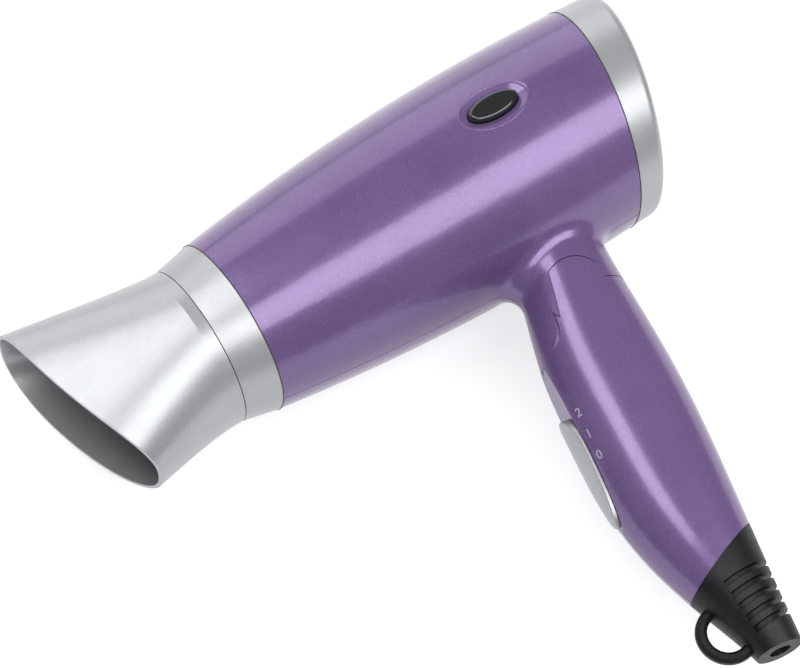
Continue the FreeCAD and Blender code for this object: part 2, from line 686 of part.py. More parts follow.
def dish_backing():
    """Thickening of the barrel behind the dish, so that its wall stays whole."""
    length = BUTTON_LENGTH + 2 * BUTTON_GAP + 2 * DISH_MARGIN
    width = BUTTON_WIDTH + 2 * BUTTON_GAP + 2 * DISH_MARGIN
    block = oval_block(length, width, BUTTON_X, 0, FLANGE_TOP + 0.1, SKIN_AT_BUTTON - 1.0)
    return turned_to_button(block).common(barrel(0.5, -1.0))


def cool_shot_button():
    """Domed oval button with a flange that keeps it in the barrel."""
    top = SKIN_AT_BUTTON + BUTTON_PROUD
    stem = oval_block(BUTTON_LENGTH, BUTTON_WIDTH, BUTTON_X, 0, FLANGE_TOP - FLANGE, top)
    rims = [e for e in stem.Edges if abs(e.CenterOfMass.z - top) < 0.01]
    stem = stem.makeFillet(1.4, rims)
    flange = oval_block(BUTTON_LENGTH + 2.4, BUTTON_WIDTH + 2.4, BUTTON_X, 0, FLANGE_TOP - FLANGE, FLANGE_TOP)
    return turned_to_button(joined([stem, flange]))


BUTTON_FOOT = FLANGE_TOP - FLANGE
BUTTON_STOP = BUTTON_FOOT - BUTTON_TRAVEL    # the flange's inside when pressed
SPRING_SEAT = DUCT_RADIUS + DUCT_WALL + 0.3
SPRING_RADIUS = 2.6
SPRING_WIRE = 0.4
SPRING_TURNS = 2.5
SPRING_X = BUTTON_X + 4.6


def cool_shot_spring():
    """Return spring under the button: one helical wire between its seat and the flange."""
    half = SPRING_WIRE / 2
    height = BUTTON_FOOT - SPRING_SEAT - SPRING_WIRE - 0.1
    corners = [V(SPRING_RADIUS + a, 0, b)
               for a, b in ((-half, -half), (half, -half), (half, half), (-half, half))]
    section = Part.makePolygon(corners + corners[:1])
    coil = Part.Wire(Part.makeHelix(height / SPRING_TURNS, height, SPRING_RADIUS))
    spring = coil.makePipeShell([section], True, True)
    spring.translate(V(SPRING_X, 0, SPRING_SEAT + half + 0.05))
    return turned_to_button(spring)


def cool_shot_switch():
    """Small push switch on the fan duct under the button, with the plate that the spring stands on."""
    duct = rod(DUCT_RADIUS + DUCT_WALL, V(0, 0, 0), X_AXIS, BIG / 2)
    plate = box(BUTTON_X - 6.0, SPRING_X + SPRING_RADIUS + 1.0, -3.4, 3.4, DUCT_RADIUS - 1.0, SPRING_SEAT)
    body = box(BUTTON_X - 6.0, BUTTON_X + 1.0, -3.0, 3.0, DUCT_RADIUS, BUTTON_STOP - 0.5)
    plunger = rod(1.2, V(BUTTON_X - 2.5, 0, BUTTON_STOP - 0.5), Z_AXIS, 0.45)
    return turned_to_button(joined([plate, body, plunger]).cut(duct))


# ======================================================================================
# screws
# ======================================================================================
def screw_boss(x, y, side):
    """Post inside a moulding, from the seam to beyond its skin."""
    return rod(BOSS_RADIUS, V(x, y, 0), V(0, 0, side), BIG / 8)


def screw_room(x, y, side):
    """Pilot hole in the +Z moulding; clearance hole and head pocket in the other."""
    if side > 0:
        return rod(SCREW_RADIUS, V(x, y, 0), Z_AXIS, SCREW_REACH + 0.3)
    hole = rod(SCREW_RADIUS + 0.1, V(x, y, -SCREW_REACH), Z_AXIS, SCREW_REACH)
    pocket = rod(SCREW_HEAD_RADIUS + 0.2, V(x, y, -SCREW_REACH), V(0, 0, -1), BIG / 8)
    return hole.fuse(pocket)


def screw(x, y):
    """Pan-head screw with a cross recess; its head faces -Z."""
    shaft = rod(SCREW_RADIUS, V(x, y, -SCREW_REACH), Z_AXIS, 2 * SCREW_REACH)
    head = rod(SCREW_HEAD_RADIUS, V(x, y, -SCREW_REACH), V(0, 0, -1), SCREW_HEAD_HEIGHT)
    face = -SCREW_REACH - SCREW_HEAD_HEIGHT
    cross = [box(x - a, x + a, y - b, y + b, face - 1, face + 0.9) for a, b in ((1.6, 0.35), (0.35, 1.6))]
    return shaft.fuse(head).cut(cross)


# ======================================================================================
# handle
# ======================================================================================
def relief_plane():
    """Point and downward normal of the cut where the strain relief begins."""
    slant = math.radians(RELIEF_CUT_SLANT)
    return V(GRIP[5][1] - 0.4, RELIEF_CUT_HEIGHT, 0), V(math.sin(slant), -math.cos(slant), 0)


def handle():
    """Both handle mouldings in one piece, upright: skin, ears, trunnions and switch land."""
    below = box(-BIG, BIG, -BIG, REAR_SHUT - KNUCKLE_GAP, -BIG, BIG)
    land = box(-BIG, LAND, SLIDER_TOP - SLIDER_LENGTH - LAND_BELOW, SLIDER_TOP + LAND_ABOVE, -BIG, BIG)
    shell = GRIP_SKIN.common(below).cut(GRIP_CORE.cut(land))
    shell = shell.cut([seam_groove(GRIP_SKIN, grip(SEAM_GROOVE_DEPTH)), half_space(*relief_plane())])

    front_room = box(-BIG, 2.0, -BIG, BIG, -BIG, BIG)
    shell = shell.cut(knuckle(KNUCKLE_GAP, SIDE_GAP, LENS_ROOM).common(front_room))
    drum_room = hinge_drum(KNUCKLE_EDGE + KNUCKLE_GAP, EAR_FACE).common(box(-BIG, 8.0, -BIG, BIG, -BIG, BIG))
    shell = shell.cut([hinge_drum(CHEEK_RADIUS + KNUCKLE_GAP, EAR_FACE), drum_room])
    track_low = SLIDER_TOP - SLIDER_LENGTH - TRACK_BELOW
    track_top = SLIDER_TOP + 2 * SLIDER_STEP + TRACK_ABOVE
    track = box(-BIG, TRACK_FLOOR, track_low, track_top, -BIG, BIG)
    stem_top = SLIDER_TOP - SLIDER_LENGTH / 2 + STEM_LENGTH / 2 + 2 * SLIDER_STEP
    stem_low = SLIDER_TOP - SLIDER_LENGTH / 2 - STEM_LENGTH / 2
    slot_half = STEM_HALF_WIDTH + SLIDER_GAP
    slot = box(-BIG, LAND + 0.5, stem_low - SLIDER_GAP, stem_top + SLIDER_GAP, -slot_half, slot_half)
    shell = shell.cut([track, slot, switch_seat()])

    ear = GRIP_SKIN.common(rod(EAR_RADIUS, V(0, 0, EAR_FACE), Z_AXIS, BIG))
    trunnion = rod(TRUNNION_RADIUS, V(0, 0, EAR_FACE - 4.0), Z_AXIS, 4.2)
    seat = hinge_drum(PIN_RADIUS, EAR_FACE - 0.2)
    parts = [shell, ear, mirrored(ear), trunnion, mirrored(trunnion)]
    return joined(parts).cut(seat)


def handle_half(shell, side):
    """One handle moulding with its screw posts."""
    room = box(-BIG, BIG, -BIG, BIG, 0, BIG) if side > 0 else box(-BIG, BIG, -BIG, BIG, -BIG, 0)
    parts = [shell.common(room)]
    parts += [screw_boss(x, y, side).common(GRIP_SKIN) for x, y in HANDLE_SCREWS]
    return seated(joined(parts).cut([screw_room(x, y, side) for x, y in HANDLE_SCREWS]))


def hinge_pin():
    """Hollow steel pin through both trunnions."""
    return seated(hinge_drum(PIN_RADIUS, EAR_FACE - 0.3).cut(hinge_drum(PIN_RADIUS - 1.0, EAR_FACE)))


# ======================================================================================
# power switch
# ======================================================================================
def pad_outline(x):
    """Egg-shaped outline of the slider's pad, in a plane across the handle's front."""
    widest = SLIDER_TOP - 0.34 * SLIDER_LENGTH
    centre, side = V(x, widest, 0), V(0, 0, SLIDER_HALF_WIDTH)
    arcs = []
    for tip in (SLIDER_TOP, SLIDER_TOP - SLIDER_LENGTH):
        oval_curve = Part.Ellipse(centre + V(0, tip - widest, 0), centre + side, centre)
        arcs.append(Part.ArcOfEllipse(oval_curve, -math.pi / 2, math.pi / 2).toShape())
    return Part.Face(Part.Wire(Part.__sortEdges__(arcs)))


def slider_pad():
    """Silver thumb pad that rides on the flat of the handle's front."""
    back = TRACK_FLOOR - 0.15
    column = pad_outline(back).extrude(V(-12, 0, 0))
    pad = column.common(grip(0, SLIDER_PROUD))
    rims = [e for e in pad.Edges if e.BoundBox.XMin < back - 0.3 and e.BoundBox.XMax < back - 0.05]
    pad = pad.makeFillet(0.5, rims)
    middle = SLIDER_TOP - SLIDER_LENGTH / 2
    stem = box(back - 0.2, LAND + 3.0, middle - STEM_LENGTH / 2, middle + STEM_LENGTH / 2,
               -STEM_HALF_WIDTH, STEM_HALF_WIDTH)
    return seated(joined([pad, stem]))


SWITCH_MIDDLE = SLIDER_TOP - SLIDER_LENGTH / 2 + SLIDER_STEP


def switch_seat(gap=0.05):
    """Block that the switch fills behind the front wall, with a gap round it."""
    half_length, half_width = SWITCH_LENGTH / 2 + gap, SWITCH_HALF_WIDTH + gap
    return box(LAND, LAND + SWITCH_DEPTH, SWITCH_MIDDLE - half_length, SWITCH_MIDDLE + half_length,
               -half_width, half_width)


def switch_body():
    """Three-position slide switch behind the front wall."""
    middle = SWITCH_MIDDLE
    body = switch_seat(0)
    half = STEM_HALF_WIDTH + SLIDER_GAP
    reach = STEM_LENGTH / 2 + SLIDER_STEP + SLIDER_GAP
    channel = box(LAND - 1, LAND + 4.0, middle - reach, middle + reach, -half, half)
    return seated(body.cut(channel))


def circuit_board():
    """Board on the back of the switch with a capacitor and two diodes."""
    middle = SWITCH_MIDDLE
    x0 = LAND + SWITCH_DEPTH
    board = box(x0, x0 + 1.6, middle - 18.0, middle + 16.0, -8.0, 8.0)
    capacitor = box(x0 + 1.6, x0 + 8.0, middle - 16.0, middle - 4.0, -5.0, 2.0)
    diodes = [rod(1.5, V(x0 + 3.1, middle + 1.0, z), V(0, 1, 0), 6.0) for z in (-4.0, 1.0)]
    feet = [box(x0 + 1.6, x0 + 3.1, middle + 2.0, middle + 6.0, z - 0.4, z + 0.4) for z in (-4.0, 1.0)]
    return seated(joined([board, capacitor] + diodes + feet))


# ======================================================================================
# strain relief and cord clamp
# ======================================================================================
FOOT = seated_point(GRIP[-1][1], HANDLE_END)
CORD_X = FOOT.x + CORD_SHIFT


def cord_room():
    """Room for the cord, straight up from below the foot."""
    return rod(CORD_RADIUS, V(CORD_X, FOOT.y - 10.0, 0), V(0, 1, 0), BIG / 2)


def hanging_loop():
    """Ring of rounded section at the back of the relief."""
    half = LOOP_THICKNESS / 2
    band = rod(LOOP_RADIUS + half, LOOP_CENTRE - V(0, 0, half), Z_AXIS, LOOP_THICKNESS)
    ring = band.cut(rod(LOOP_RADIUS - half, LOOP_CENTRE - V(0, 0, half), Z_AXIS, LOOP_THICKNESS))
    rims = [e for e in ring.Edges if abs(abs(e.CenterOfMass.z) - half) < 0.01]
    return ring.makeChamfer(0.3 * LOOP_THICKNESS, rims)


def strain_relief():
    """Rubber relief: a plug inside the handle, a grooved nose and a hanging loop."""
    point, down = relief_plane()
    nose = GRIP_SKIN.common(half_space(point, down))
    plug_room = half_space(point, down * -1).cut(half_space(point - down * RELIEF_PLUG, down * -1))
    plug = grip(HANDLE_WALL + 0.05).common(plug_room)
    loop = hanging_loop()
    body = seated(joined([nose, plug]))
    ring = seated(grip().cut(grip(2.1)))
    slots = []
    for index in range(GROOVES):
        y = FOOT.y + LAST_GROOVE + index * GROOVE_PITCH
        band = box(CORD_X - 5.0, BIG, y - GROOVE_WIDTH / 2, y + GROOVE_WIDTH / 2, -BIG, BIG)
        slots.append(band.common(ring))
    body = joined([body.cut(slots), seated(loop)])
    return body.cut(cord_room())


def cord_clamp():
    """Block that grips the cord between the two handle mouldings, just over the relief's plug."""
    tilt = math.radians(RELIEF_CUT_SLANT - HANDLE_LEAN)
    point, _ = relief_plane()
    cut = seated_point(point.x, point.y)
    corner = CORD_X + CLAMP_HALF - cut.x
    low = cut.y + corner * math.tan(tilt) + RELIEF_PLUG / math.cos(tilt) + CLAMP_GAP
    block = box(CORD_X - CLAMP_HALF, CORD_X + CLAMP_HALF, low, low + CLAMP_HEIGHT, -BIG, BIG)
    return block.common(seated(grip(HANDLE_WALL + 0.02))).cut(cord_room())


# ======================================================================================
def build():
    """Every node of the dryer by name, before it is stood on its origin."""
    skin = housing_skin()
    handle_shell = handle()
    nodes = {
        "housing_left": housing_half(skin, 1),
        "housing_right": housing_half(skin, -1),
        "front_ring": front_ring(),
        "outlet_grille": outlet_grille(),
        "rear_ring": rear_ring(),
        "intake_grille": intake_grille(),
        "heat_tube": heat_tube(),
        "mica_cross": mica_cross(),
        "heater_coil": heater_coil(),
        "thermal_cutout": thermal_cutout(),
        "fan_duct": fan_duct(),
        "motor_can": motor_can(),
        "motor_end_cap": motor_end_cap(),
        "rotor": rotor(),
        "fan": fan(),
        "cool_shot_button": cool_shot_button(),
        "cool_shot_spring": cool_shot_spring(),
        "cool_shot_switch": cool_shot_switch(),
        "neck_screw": seated(screw(*NECK_SCREW)),
        "nozzle": nozzle(),
        "nozzle_clip": nozzle_clip(),
        "handle_left": handle_half(handle_shell, 1),
        "handle_right": handle_half(handle_shell, -1),
        "handle_screws": seated(Part.makeCompound([screw(x, y) for x, y in HANDLE_SCREWS])),
        "hinge_pin": hinge_pin(),
        "switch_slider": slider_pad(),
        "switch_body": switch_body(),
        "circuit_board": circuit_board(),
        "strain_relief": strain_relief(),
        "cord_clamp": cord_clamp(),
    }
    return nodes


def main():
    nodes = build()
    limits = [shape.optimalBoundingBox(True, False) for shape in nodes.values()]
    low = V(*[min(getattr(b, side) for b in limits) for side in ("XMin", "YMin", "ZMin")])
    high = V(*[max(getattr(b, side) for b in limits) for side in ("XMax", "YMax", "ZMax")])
    origin = V((low.x + high.x) / 2, (low.y + high.y) / 2, low.z)
    os.makedirs("parts", exist_ok=True)
    for name, shape in nodes.items():
        shape.translate(origin * -1)
        shape.exportStep("parts/%s.step" % name)
    print("overall", [round(v, 2) for v in (high - low)])
    print("front seam's centre", [round(v, 3) for v in origin * -1])


if __name__ == "__main__":
    main()
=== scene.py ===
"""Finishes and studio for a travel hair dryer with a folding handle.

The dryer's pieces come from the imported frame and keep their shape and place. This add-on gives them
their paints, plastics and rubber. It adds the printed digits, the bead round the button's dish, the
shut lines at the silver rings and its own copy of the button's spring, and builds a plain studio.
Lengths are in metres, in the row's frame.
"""
import json
import math

import bpy
from bpy.props import FloatProperty, FloatVectorProperty, IntProperty, PointerProperty
from bpy.types import Operator, Panel, PropertyGroup
from mathutils import Matrix, Vector
from mathutils.bvhtree import BVHTree


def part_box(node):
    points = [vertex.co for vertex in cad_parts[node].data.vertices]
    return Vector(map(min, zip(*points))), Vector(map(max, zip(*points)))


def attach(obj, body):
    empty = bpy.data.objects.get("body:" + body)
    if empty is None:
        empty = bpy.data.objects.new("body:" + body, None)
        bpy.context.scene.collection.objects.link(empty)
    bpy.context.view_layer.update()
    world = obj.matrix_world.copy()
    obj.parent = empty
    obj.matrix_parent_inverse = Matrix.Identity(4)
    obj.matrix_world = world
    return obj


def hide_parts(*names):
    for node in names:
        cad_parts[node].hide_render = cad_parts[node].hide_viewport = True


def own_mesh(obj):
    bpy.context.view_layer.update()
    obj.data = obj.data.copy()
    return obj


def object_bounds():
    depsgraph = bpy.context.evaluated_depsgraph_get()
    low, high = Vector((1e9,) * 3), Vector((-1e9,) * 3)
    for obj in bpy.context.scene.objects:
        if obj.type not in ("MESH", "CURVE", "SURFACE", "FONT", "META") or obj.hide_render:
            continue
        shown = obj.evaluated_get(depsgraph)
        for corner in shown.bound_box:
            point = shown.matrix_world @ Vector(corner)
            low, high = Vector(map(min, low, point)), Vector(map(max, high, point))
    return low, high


bl_info = {
    "name": "Travel Hair Dryer",
    "version": (1, 0, 0),
    "blender": (4, 5, 0),
    "location": "3D View > Sidebar > Hair Dryer",
    "description": "Paints a folding travel hair dryer, prints its digits and lights it",
    "category": "Object",
}

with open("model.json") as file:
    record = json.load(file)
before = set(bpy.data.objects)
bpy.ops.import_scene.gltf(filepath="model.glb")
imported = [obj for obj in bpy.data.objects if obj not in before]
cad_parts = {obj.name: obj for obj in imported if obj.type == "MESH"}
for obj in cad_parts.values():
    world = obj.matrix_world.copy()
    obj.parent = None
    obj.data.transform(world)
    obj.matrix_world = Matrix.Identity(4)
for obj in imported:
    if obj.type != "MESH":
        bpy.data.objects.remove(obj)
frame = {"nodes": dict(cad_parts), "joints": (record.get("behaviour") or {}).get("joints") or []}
CAD_LOW, CAD_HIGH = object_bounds()
NODES = frame["nodes"]
JOINTS = {joint["name"]: joint for joint in frame["joints"]}

# Finish of the painted surfaces. Sizes are in metres.
CLOUD_SIZE = 0.035          # lumps of the slow change of tone
GLOSS_CLOUD_SIZE = 0.004    # lumps of the change of gloss
GLOSS_SPREAD = 0.02         # half the range of roughness
FLAKE_START = 0.72          # cells with a value above this are flecks
FLAKE_SHARE = 0.55          # how far a fleck goes to the flake's colour
SILVER_SHADE = 0.93         # tone of the silver's darker clouds

# Tone of the second colour in each moulded or metal finish, over that of the first.
BUTTON_TINT = 1.5
RUBBER_WEAR = 2.2
PLASTIC_TINT = 1.35
METAL_SHADE = 0.8
INK_SHADE = 0.9

# Added pieces. Lengths are in metres.
DIGIT_SHARE = 0.72          # height of a digit over the font's size
RAY_START = 0.010           # how far outside a surface a ray starts, for a digit's place,
INK_RAY_START = 0.004       # for a corner of a digit
BEAD_RAY_START = 0.020      # and for a point of the bead
BEAD_SINK = 0.55            # how far the bead is sunk, over its radius
RIM_POINTS = 96             # most points round a ring's end
RIM_DEPTH = 0.00002         # corners nearer than this to the end's plane belong to it
RIM_SHARE = 0.97            # corners nearer the axis than this, over the widest, are left out
END_FACING = 0.95           # faces whose normal leans less than this along X aren't an end

# Half the side of the square floor, in metres.
FLOOR_REACH = 3.0

# Lights: name, direction from the dryer's middle, distance, width and depth.
LIGHTS = (
    ("key", (0.15, -0.43, 0.89), 1.0, (1.4, 0.56)),
    ("fill", (-0.27, 0.38, 0.89), 1.1, (0.38, 0.90)),
    ("top", (0.10, 0.92, 0.36), 1.1, (1.5, 0.70)),
)

PAINTED = ("housing_left", "housing_right", "handle_left", "handle_right")
SILVERED = ("front_ring", "nozzle", "rear_ring", "switch_slider")
BLACK_GLOSS = ("cool_shot_button",)
SOFT_BLACK = ("strain_relief",)
GRILLES = ("outlet_grille", "intake_grille")
MOULDED = ("fan_duct", "fan", "motor_end_cap", "cool_shot_switch", "switch_body", "cord_clamp")
STEEL = ("motor_can", "rotor", "cool_shot_spring", "neck_screw", "nozzle_clip", "handle_screws",
         "hinge_pin", "thermal_cutout")
MICA = ("heat_tube", "mica_cross")
WIRE = ("heater_coil",)
BOARD = ("circuit_board",)


# ---- settings ----------------------------------------------------------------------------
def colour(name, description, default):
    """Colour property, linear."""
    return FloatVectorProperty(name=name, description=description, default=default,
                               subtype="COLOR", size=3, min=0.0, max=1.0)


def share(name, description, default):
    """Property from 0 to 1."""
    return FloatProperty(name=name, description=description, default=default,
                         min=0.0, max=1.0, subtype="FACTOR")


def length(name, description, default):
    """Property in metres."""
    return FloatProperty(name=name, description=description, default=default,
                         min=0.0, subtype="DISTANCE", unit="LENGTH", precision=5)


def offset(name, description, default):
    """Property in metres, to either side."""
    return FloatProperty(name=name, description=description, default=default,
                         subtype="DISTANCE", unit="LENGTH", precision=4)


def angle(name, description, degrees):
    """Angle property, given in degrees."""
    return FloatProperty(name=name, description=description, default=math.radians(degrees),
                         subtype="ANGLE", unit="ROTATION")


def watts(name, description, default):
    """Power property of a light."""
    return FloatProperty(name=name, description=description, default=default,
                         min=0.0, subtype="POWER", unit="POWER")


class DRYER_PG_paint(PropertyGroup):
    """Colours and gloss of the painted and moulded surfaces."""
    purple: colour("Purple", "Pearl paint of the barrel and the handle", (0.158, 0.096, 0.240))
    purple_deep: colour("Deep purple", "Darker cloud in the pearl paint", (0.134, 0.080, 0.208))
    purple_flake: colour("Purple flake", "Fine flake in the pearl paint", (0.240, 0.165, 0.335))
    purple_roughness: share("Purple roughness", "Roughness of the pearl under its lacquer", 0.235)
    purple_metal: share("Purple metal", "How metallic the pearl paint is", 0.30)
    flake_size: length("Flake size", "Size of one fleck of flake", 0.00022)
    silver: colour("Silver", "Satin silver paint", (0.385, 0.395, 0.405))
    silver_flake: colour("Silver flake", "Fine flake in the silver paint", (0.49, 0.50, 0.51))
    silver_roughness: share("Silver roughness", "Roughness of the silver paint", 0.35)
    black: colour("Black", "Polished button", (0.006, 0.007, 0.007))
    rubber: colour("Rubber", "Strain relief", (0.0030, 0.0038, 0.0042))
    grille: colour("Grille", "Heat-proof grilles", (0.030, 0.030, 0.034))
    moulding: colour("Moulding", "Inner plastic pieces", (0.050, 0.050, 0.056))
    steel: colour("Steel", "Screws, pin, springs and the motor", (0.48, 0.48, 0.49))
    mica: colour("Mica", "Insulating boards of the heater", (0.42, 0.36, 0.27))
    wire: colour("Heating wire", "Oxidised heating wire", (0.26, 0.22, 0.19))
    board: colour("Circuit board", "Lacquered board behind the switch", (0.05, 0.14, 0.07))
    ink: colour("Ink", "Printed digits", (0.40, 0.36, 0.50))


class DRYER_PG_details(PropertyGroup):
    """Sizes of the small pieces added to the dryer."""
    digit_height: length("Digit height", "Height of a printed digit", 0.0031)
    digit_side: length("Digit offset", "Digits beside the slider's middle line", 0.0092)
    digit_top: length("Top digit", "Top digit below the slider's top, along the handle", 0.0025)
    ink_thickness: length("Ink thickness", "Thickness of the printed digits", 0.00006)
    bead_radius: length("Bead radius", "Half thickness of the bead round the dish", 0.00035)
    bead_margin: length("Bead margin", "Bead outside the button's edge", 0.0019)
    seam_radius: length("Shut line", "Half width of the shut lines at the rings", 0.00021)
    bead_steps: IntProperty(name="Bead steps", description="Points round the bead", default=96, min=24)


class DRYER_PG_studio(PropertyGroup):
    """Camera, floor and lights."""
    azimuth: angle("Azimuth", "Camera round the dryer", -40.12)
    elevation: angle("Elevation", "Camera above the floor", 63.0)
    roll: angle("Roll", "Turn of the camera about its axis", 6.2)
    distance: length("Distance", "Camera to the point it looks at", 0.9375)
    aim_right: offset("Aim right", "Aim beside the dryer's middle", -0.0285)
    aim_up: offset("Aim up", "Aim above the dryer's middle", 0.0280)
    lens: FloatProperty(name="Lens", description="Focal length, millimetres", default=137.25,
                        min=1.0, subtype="DISTANCE_CAMERA", unit="CAMERA")
    floor: colour("Floor", "Plain pale floor", (0.50, 0.50, 0.51))
    glow: share("Floor glow", "How far the floor lights itself to white for the camera", 0.66)
    world: colour("World", "Even light round the object", (0.27, 0.27, 0.28))
    key: watts("Key light", "Power of the long soft light", 10.8)
    fill: watts("Fill light", "Power of the narrow soft light", 5.0)
    top: watts("Top light", "Power of the broad low light behind", 4.6)


# ---- material helpers --------------------------------------------------------------------
class Nodes:
    """A new node material with its surface shader and a few shortcuts."""

    def __init__(self, name):
        self.material = bpy.data.materials.new(name)
        self.material.use_nodes = True
        self.tree = self.material.node_tree
        self.tree.nodes.clear()
        self.output = self.tree.nodes.new("ShaderNodeOutputMaterial")
        self.shader = self.tree.nodes.new("ShaderNodeBsdfPrincipled")
        self.link(self.shader.outputs["BSDF"], self.output.inputs["Surface"])
        self.place = self.tree.nodes.new("ShaderNodeTexCoord").outputs["Object"]

    def link(self, source, target):
        self.tree.links.new(source, target)

    def set(self, **values):
        """Values on the shader's own sockets; underscores stand for spaces."""
        for name, value in values.items():
            self.shader.inputs[name.replace("_", " ")].default_value = value

    def noise(self, size, detail=3.0, roughness=0.5):
        """Noise whose lumps are about this many metres across, from 0 to 1."""
        node = self.tree.nodes.new("ShaderNodeTexNoise")
        self.link(self.place, node.inputs["Vector"])
        node.inputs["Scale"].default_value = 1.0 / size
        node.inputs["Detail"].default_value = detail
        node.inputs["Roughness"].default_value = roughness
        return node.outputs["Fac"]

    def cells(self, size):
        """A random value from 0 to 1 for each small cell."""
        node = self.tree.nodes.new("ShaderNodeTexVoronoi")
        self.link(self.place, node.inputs["Vector"])
        node.inputs["Scale"].default_value = 1.0 / size
        split = self.tree.nodes.new("ShaderNodeSeparateColor")
        self.link(node.outputs["Color"], split.inputs["Color"])
        return split.outputs[0]

    def span(self, value, low, high, to_low, to_high):
        """A value's range stretched to another, clamped."""
        node = self.tree.nodes.new("ShaderNodeMapRange")
        self.link(value, node.inputs["Value"])
        ends = {"From Min": low, "From Max": high, "To Min": to_low, "To Max": to_high}
        for name, number in ends.items():
            node.inputs[name].default_value = number
        return node.outputs["Result"]

    def mix(self, factor, first, second):
        """Two colours mixed by a factor; each is a colour or another node's output."""
        node = self.tree.nodes.new("ShaderNodeMix")
        node.data_type = "RGBA"
        self.link(factor, node.inputs["Factor"])
        for socket, value in ((node.inputs[6], first), (node.inputs[7], second)):
            if isinstance(value, bpy.types.NodeSocket):
                self.link(value, socket)
            else:
                socket.default_value = (*value, 1.0)
        return node.outputs[2]

    def colour(self, output):
        self.link(output, self.shader.inputs["Base Color"])

    def roughness(self, output):
        self.link(output, self.shader.inputs["Roughness"])

    def bump(self, height, distance, strength=1.0):
        """Fine relief of this many metres."""
        node = self.tree.nodes.new("ShaderNodeBump")
        self.link(height, node.inputs["Height"])
        node.inputs["Distance"].default_value = distance
        node.inputs["Strength"].default_value = strength
        self.link(node.outputs["Normal"], self.shader.inputs["Normal"])


def dress(names, material):
    """Puts one material on every slot of these nodes."""
    for name in names:
        for slot in NODES[name].material_slots:
            slot.material = material


def flake_paint(name, base, deep, flake, flake_size, roughness):
    """Metallic paint: slow clouds of tone, fine flake and small clouds of gloss."""
    paint = Nodes(name)
    clouds = paint.span(paint.noise(CLOUD_SIZE, 2.0), 0.35, 0.65, 0.0, 1.0)
    body = paint.mix(clouds, base, deep)
    fleck = paint.span(paint.cells(flake_size), FLAKE_START, 1.0, 0.0, FLAKE_SHARE)
    paint.colour(paint.mix(fleck, body, flake))
    paint.roughness(paint.span(paint.noise(GLOSS_CLOUD_SIZE, 3.0), 0.3, 0.7,
                               roughness - GLOSS_SPREAD, roughness + GLOSS_SPREAD))
    return paint


# ---- finishes ----------------------------------------------------------------------------
class DRYER_OT_purple(Operator):
    """Pearl purple paint under clear lacquer on the barrel, the neck and the handle."""
    bl_idname = "dryer.purple"
    bl_label = "Purple paint"

    def execute(self, context):
        look = context.scene.dryer_paint
        paint = flake_paint("purple_paint", look.purple, look.purple_deep, look.purple_flake,
                            look.flake_size, look.purple_roughness)
        paint.set(Metallic=look.purple_metal, Coat_Weight=0.25, Coat_Roughness=0.06, Coat_IOR=1.5)
        orange_peel = paint.noise(0.0035, 1.0)
        paint.bump(orange_peel, 0.000012)
        dress(PAINTED, paint.material)
        return {"FINISHED"}


class DRYER_OT_silver(Operator):
    """Satin metallic silver paint on the nozzle, both rings and the slider."""
    bl_idname = "dryer.silver"
    bl_label = "Silver paint"

    def execute(self, context):
        look = context.scene.dryer_paint
        darker = [SILVER_SHADE * value for value in look.silver]
        paint = flake_paint("silver_paint", look.silver, darker, look.silver_flake,
                            look.flake_size, look.silver_roughness)
        paint.set(Metallic=0.50, Coat_Weight=0.15, Coat_Roughness=0.18)
        paint.bump(paint.noise(0.0006, 2.0), 0.000006)
        dress(SILVERED, paint.material)
        return {"FINISHED"}


class DRYER_OT_blacks(Operator):
    """Polished black for the button and soft black rubber for the strain relief."""
    bl_idname = "dryer.blacks"
    bl_label = "Black pieces"

    def execute(self, context):
        look = context.scene.dryer_paint
        button = Nodes("gloss_black")
        lighter = [value * BUTTON_TINT for value in look.black]
        button.colour(button.mix(button.noise(0.006), look.black, lighter))
        button.roughness(button.span(button.noise(0.0012), 0.3, 0.7, 0.13, 0.20))
        button.set(Coat_Weight=0.6, Coat_Roughness=0.08)
        dress(BLACK_GLOSS, button.material)
        rubber = Nodes("black_rubber")
        worn = [value * RUBBER_WEAR for value in look.rubber]
        wear = rubber.span(rubber.noise(0.010, 4.0), 0.4, 0.75, 0.0, 1.0)
        rubber.colour(rubber.mix(wear, look.rubber, worn))
        rubber.roughness(rubber.span(rubber.noise(0.0015, 4.0), 0.3, 0.7, 0.40, 0.54))
        rubber.set(Specular_IOR_Level=0.30)
        rubber.bump(rubber.noise(0.00035, 2.0), 0.000014)
        dress(SOFT_BLACK, rubber.material)
        return {"FINISHED"}


class DRYER_OT_inside(Operator):
    """Grilles, moulded plastics, steel, mica, heating wire and the circuit board."""
    bl_idname = "dryer.inside"
    bl_label = "Grilles and inside"

    def plastic(self, name, tint, names, grain=0.0005):
        look = Nodes(name)
        pale = [min(1.0, value * PLASTIC_TINT) for value in tint]
        look.colour(look.mix(look.noise(0.008, 3.0), tint, pale))
        look.roughness(look.span(look.noise(0.0012, 3.0), 0.3, 0.7, 0.46, 0.60))
        look.bump(look.noise(grain, 2.0), 0.000015)
        dress(names, look.material)

    def metal(self, name, tint, names, low, high):
        look = Nodes(name)
        dull = [value * METAL_SHADE for value in tint]
        look.colour(look.mix(look.noise(0.004, 4.0), tint, dull))
        look.roughness(look.span(look.noise(0.0008, 3.0), 0.3, 0.7, low, high))
        look.set(Metallic=1.0)
        look.bump(look.noise(0.0003, 2.0), 0.000005)
        dress(names, look.material)

    def execute(self, context):
        look = context.scene.dryer_paint
        self.plastic("grille_plastic", look.grille, GRILLES)
        self.plastic("inner_plastic", look.moulding, MOULDED)
        self.plastic("mica", look.mica, MICA, grain=0.0012)
        self.plastic("board", look.board, BOARD)
        self.metal("steel", look.steel, STEEL, 0.28, 0.40)
        self.metal("heating_wire", look.wire, WIRE, 0.45, 0.60)
        return {"FINISHED"}


